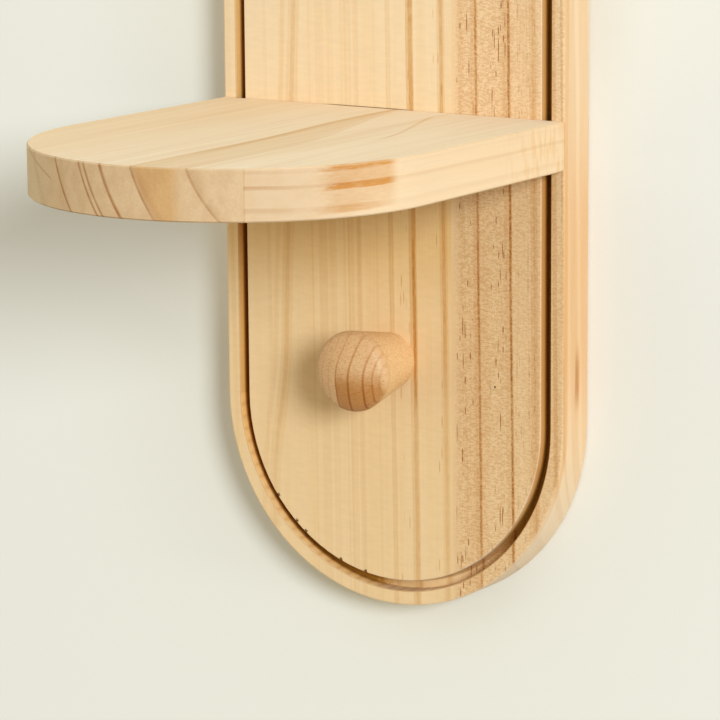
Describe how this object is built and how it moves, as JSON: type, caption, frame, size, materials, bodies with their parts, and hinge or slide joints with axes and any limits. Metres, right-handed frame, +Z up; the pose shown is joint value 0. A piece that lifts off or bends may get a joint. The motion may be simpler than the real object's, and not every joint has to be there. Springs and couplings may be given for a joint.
{
  "type": "altar shelf",
  "caption": "Round-ended pine wall board with a narrow groove inside its edge, a shelf with a half-round nose butted on its front and a turned hanging peg below, hung on keyhole plates.",
  "frame": {"origin": "middle of the backboard's back face, which lies on the wall", "axes": "+X to the viewer's right, +Y towards the wall, +Z up; the shelf and the peg point along -Y"},
  "size_m": [0.15, 0.188, 0.45],
  "materials": {
    "pine_board": "sanded bare pine, straight grain",
    "pine_board_dark": "sanded bare pine, resin lines",
    "pine_shelf": "sanded bare pine",
    "pine_shelf_edge": "sanded bare pine",
    "beech": "turned and sanded beech",
    "zinc_steel": "zinc plated"
  },
  "bodies": {
    "root": {"backboard_left_stave": "pine_board", "backboard_right_stave": "pine_board_dark", "shelf_left_stave": "pine_shelf", "shelf_right_stave": "pine_shelf_edge", "hanging_peg": "beech", "shelf_dowels": "beech", "shelf_screws": "zinc_steel", "left_keyhole_plate": "zinc_steel", "right_keyhole_plate": "zinc_steel", "keyhole_plate_screws": "zinc_steel"}
  },
  "joints": []
}
